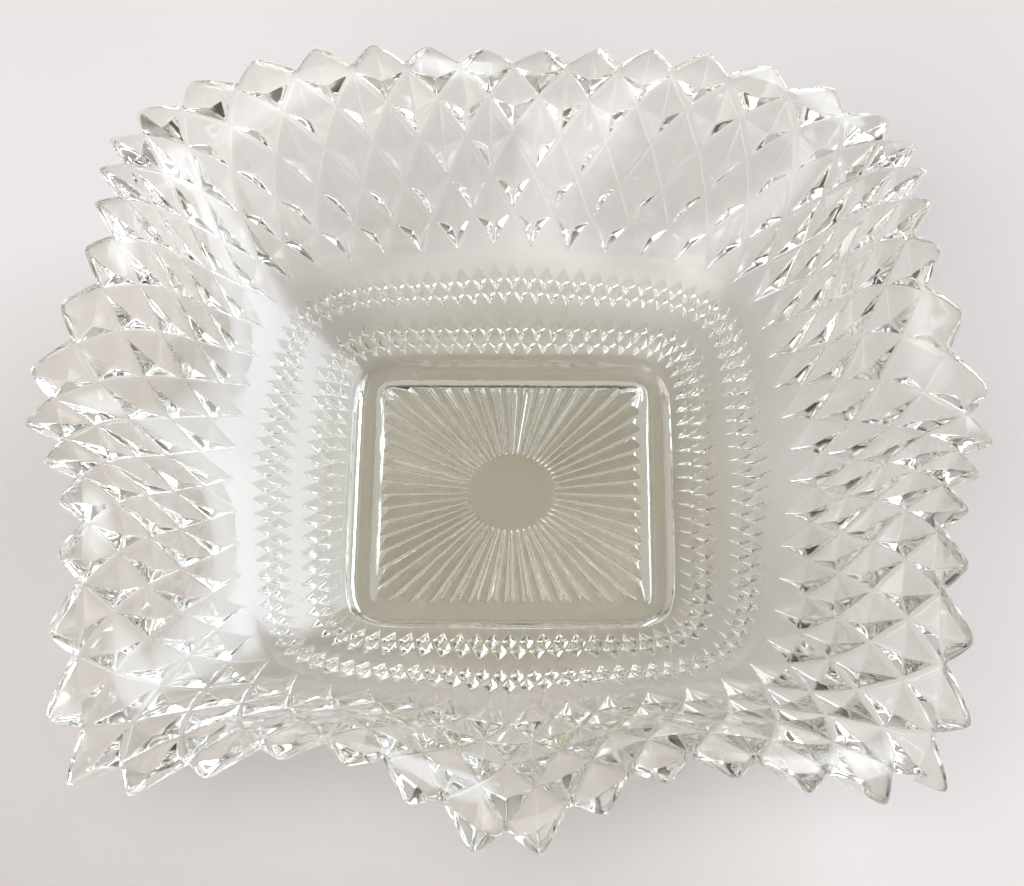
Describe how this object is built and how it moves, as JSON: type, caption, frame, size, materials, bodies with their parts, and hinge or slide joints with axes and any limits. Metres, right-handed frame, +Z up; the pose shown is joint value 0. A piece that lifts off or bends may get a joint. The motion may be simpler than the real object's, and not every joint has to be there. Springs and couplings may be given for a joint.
{
  "type": "candy dish",
  "caption": "Square pressed-glass dish with a crimped sawtooth rim, diamond-point underside, beaded bands and a sunburst base.",
  "frame": {"origin": "middle of the box around the rim, on the plane of the foot ring, which is what the dish stands on", "axes": "+Z up through the middle of the dish; X and Y square to its four sides, with -Y the front"},
  "size_m": [0.1782, 0.1784, 0.0464],
  "materials": {
    "clear_glass": "fire-polished clear glass with a faint warm tint"
  },
  "bodies": {
    "root": {"base_disc": "clear_glass", "sunburst_panel": "clear_glass", "foot_ring": "clear_glass", "cove_ring": "clear_glass", "inner_collar": "clear_glass", "outer_collar": "clear_glass", "inner_band_front": "clear_glass", "inner_band_right": "clear_glass", "inner_band_back": "clear_glass", "inner_band_left": "clear_glass", "outer_band_front": "clear_glass", "outer_band_right": "clear_glass", "outer_band_back": "clear_glass", "outer_band_left": "clear_glass", "wall_front": "clear_glass", "wall_right": "clear_glass", "wall_back": "clear_glass", "wall_left": "clear_glass", "wall_front_left": "clear_glass", "wall_front_right": "clear_glass", "wall_back_right": "clear_glass", "wall_back_left": "clear_glass"}
  },
  "joints": []
}
